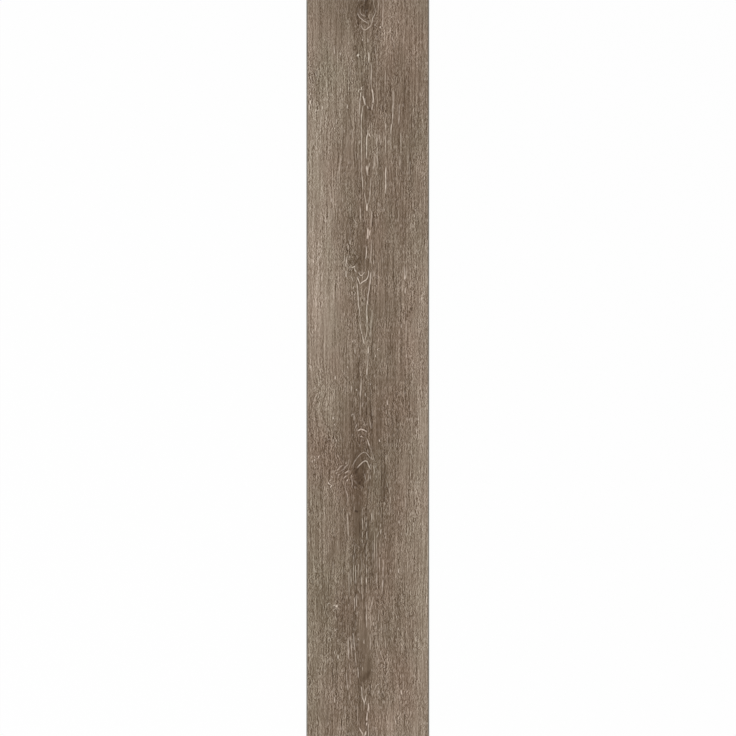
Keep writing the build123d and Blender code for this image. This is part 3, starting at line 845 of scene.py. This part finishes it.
# Back: plain grey vinyl with a fine pressed stipple that the adhesive keys into
backLook = dict(pale=(118, 114, 108), dark=(92, 89, 84), stipple=dict(across=1.6, along=1.6, seed=0),
                dotDark=0.8, cloudDark=0.1, clouds=dict(across=60, along=60, detail=3, seed=2.9, gain=1),
                roughness=0.8, specular=0.25, bumpDepth=0.06)


def makeBack(look):
    material, tree, shader = newMaterial("stippledBack")
    x, y, _ = millimetres(tree)
    dots = voronoi(tree, x, y, look["stipple"], "SMOOTH_F1").outputs["Distance"]
    clouds = noiseAround(tree, look["cloudDark"], x, y, look["clouds"])
    share = calc(tree, "MULTIPLY_ADD", dots, look["dotDark"], clouds, clamp=True)
    colour = mixColour(tree, share, linear(*look["pale"]), linear(*look["dark"]))
    finishSurface(tree, shader, look, colour, look["roughness"], dots, sunk=True)
    return material


for material in (makePrint(printLook), makeCutEdge(edgeLook), makeBack(backLook)):
    plankMesh.materials.append(material)
print("materials: " + ", ".join(m.name for m in plankMesh.materials))


# Texture layout: the wear face in two halves side by side, the back and the edges beside them
bakeLayout = dict(faceWide=0.405, gap=0.006, backHigh=0.6, edgeWide=0.03)


def layOutTexture(mesh, layout):
    layer = mesh.uv_layers.new(name="OFBake")
    gap = layout["gap"]
    backLeft = 2 * layout["faceWide"] + gap
    backWide = 1 - gap - backLeft
    edgeFoot = layout["backHigh"] + gap
    for face in mesh.polygons:
        second = face.center.y > 0                                   # half of the wear face
        onSide = abs(face.normal.x) > abs(face.normal.y)
        lane = 2 * (not onSide) + (face.normal.x + face.normal.y > 0)     # one for each cut edge
        for corner in face.loop_indices:
            px, py, pz = mesh.vertices[mesh.loops[corner].vertex_index].co
            across, along = px / halfWidth / 2 + 0.5, py / halfLength / 2 + 0.5
            if face.material_index == printSlot:
                u = gap + across * (layout["faceWide"] - gap) + second * layout["faceWide"]
                v = gap + (2 * along - second) * (1 - 2 * gap)
            elif face.material_index == backSlot:
                u = backLeft + across * backWide
                v = gap + along * (layout["backHigh"] - gap)
            else:
                u = backLeft + lane * (layout["edgeWide"] + gap) + pz / edgeHeight * layout["edgeWide"]
                v = edgeFoot + (along if onSide else across) * (1 - gap - edgeFoot)
            layer.data[corner].uv = (u, v)


layOutTexture(plankMesh, bakeLayout)
plank = addObject("limedOakPlank", plankMesh)
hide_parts("plank")
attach(plank, "root")
print("texture layout done, plank placed")


# White floor that keeps a faint shadow: half size in m, gap below the plank in mm
floorLook = dict(reach=6.0, drop=0.05, paint=0.95, glow=0.95, roughness=0.9, specular=0.0)


def makeFloor(look):
    bm = bmesh.new()
    bmesh.ops.create_grid(bm, x_segments=1, y_segments=1, size=look["reach"])
    bmesh.ops.translate(bm, vec=(0, 0, lowCorner.z - look["drop"] * mm), verts=bm.verts)
    mesh = bpy.data.meshes.new("studioFloor")
    bm.to_mesh(mesh)
    bm.free()
    material, tree, shader = newMaterial("whiteFloor")
    feed(tree, shader, {"Base Color": (look["paint"],) * 3 + (1,), "Roughness": look["roughness"],
                        "Specular IOR Level": look["specular"]})
    glow = addNode(tree, "Emission")
    share = calc(tree, "MULTIPLY", seenPlainly(tree), look["glow"])
    blend = addNode(tree, "MixShader")
    feed(tree, blend, {0: share, 1: shader.outputs["BSDF"], 2: glow.outputs["Emission"]})
    feed(tree, tree.nodes["Material Output"], {"Surface": blend.outputs["Shader"]})
    mesh.materials.append(material)
    floor = addObject("studioFloor", mesh)


# Soft studio light: an even white room and one large lamp, its size and place in m
lightLook = dict(room=0.62, lampPower=34, lampSize=2.4, lampPlace=(-1.3, -1.0, 2.6))


def makeLight(look):
    scene = bpy.context.scene
    scene.world = bpy.data.worlds.new("studioRoom")
    scene.world.use_nodes = True
    tree = scene.world.node_tree
    level = calc(tree, "MAXIMUM", seenPlainly(tree), look["room"])
    feed(tree, tree.nodes["Background"], {"Color": (1, 1, 1, 1), "Strength": level})
    data = bpy.data.lights.new("softLamp", "AREA")
    data.size = look["lampSize"]
    data.energy = look["lampPower"]
    lamp = addObject("softLamp", data)
    lamp.location = look["lampPlace"]
    lamp.rotation_euler = lamp.location.to_track_quat("Z", "Y").to_euler()
    scene.view_settings.view_transform = "Standard"


# Camera straight above, with the plank filling the picture from end to end: a little to the side of the
# middle and a little past each end, in mm
cameraLook = dict(lens=200, sensor=36, aside=0.25, trim=0.55, sight=4)     # it sees this many times as far


def makeCamera(look):
    data = bpy.data.cameras.new("overheadCamera")
    data.lens, data.sensor_width = look["lens"], look["sensor"]
    distance = (halfLength - look["trim"] * mm) * look["lens"] / (look["sensor"] / 2)
    data.clip_end = look["sight"] * distance
    camera = addObject("overheadCamera", data)
    camera.location = (look["aside"] * mm, 0, faceHeight + distance)
    bpy.context.scene.camera = camera


makeFloor(floorLook)
makeLight(lightLook)
makeCamera(cameraLook)
print("floor, light and camera set")
